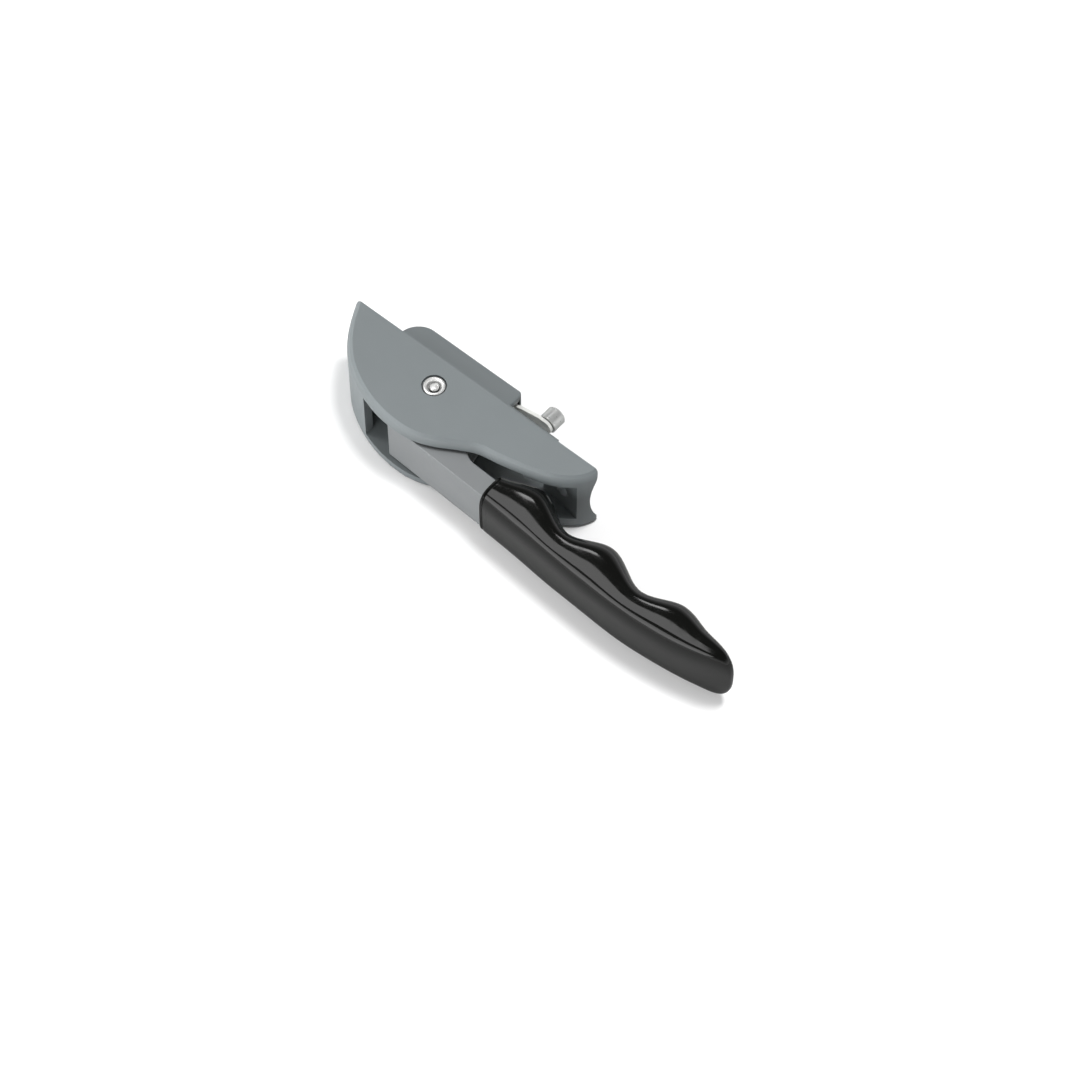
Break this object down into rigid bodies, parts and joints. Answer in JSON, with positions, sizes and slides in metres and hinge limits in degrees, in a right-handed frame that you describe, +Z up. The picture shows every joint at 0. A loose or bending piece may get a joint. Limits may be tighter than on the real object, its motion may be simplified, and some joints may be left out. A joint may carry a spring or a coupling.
{
  "type": "spring-latched lever handle",
  "caption": "Cast grey housing shaped to sit on a round arm, with a finger-grip lever that draws back a sprung locking pin on a hinged latch arm.",
  "frame": {"origin": "middle of the handle's bounding box, on the plane of the lower cheek's outer face, which it lies on", "axes": "+X from the closed nose of the housing to the end of the grip, +Y out of the mounting side, the way the locking pin points, +Z up through the width of the handle, along both pivots"},
  "size_m": [0.1642, 0.0452, 0.0254],
  "materials": {
    "cast_grey": "semi-gloss grey enamel on a zinc casting",
    "paint_grey": "semi-gloss grey enamel on steel sheet",
    "vinyl": "glossy dipped vinyl",
    "zinc": "dull zinc plate",
    "steel": "bright rolled steel",
    "nylon": "plain natural nylon"
  },
  "bodies": {
    "housing": {"housing": "cast_grey", "pin_guide": "cast_grey", "pivot_rivet": "steel", "rivet_mandrel": "steel", "pivot_spacer": "zinc", "pivot_washer_lower": "nylon", "pivot_washer_upper": "nylon", "latch_axle": "steel", "latch_spring": "steel"},
    "lever": {"lever": "paint_grey", "grip": "vinyl", "drive_pin": "steel"},
    "latch": {"latch_arm": "zinc", "locking_pin": "zinc"}
  },
  "joints": [
    {"name": "lever_hinge", "type": "hinge", "parent": "housing", "child": "lever", "pos_m": [-0.04351, -0.00005, 0.0127], "axis": [0, 0, 1], "range_deg": [-15.5, 0], "stiffness_Nm_per_rad": 0.3, "springref_deg": 17.19},
    {"name": "latch_hinge", "type": "hinge", "parent": "housing", "child": "latch", "pos_m": [-0.05961, 0.00705, 0.0127], "axis": [0, 0, 1], "range_deg": [-7, 0], "deforming": ["latch_spring"]}
  ],
  "couplings": [
    {"joint": "latch_hinge", "follows": "lever_hinge", "ratio": 0.45}
  ]
}
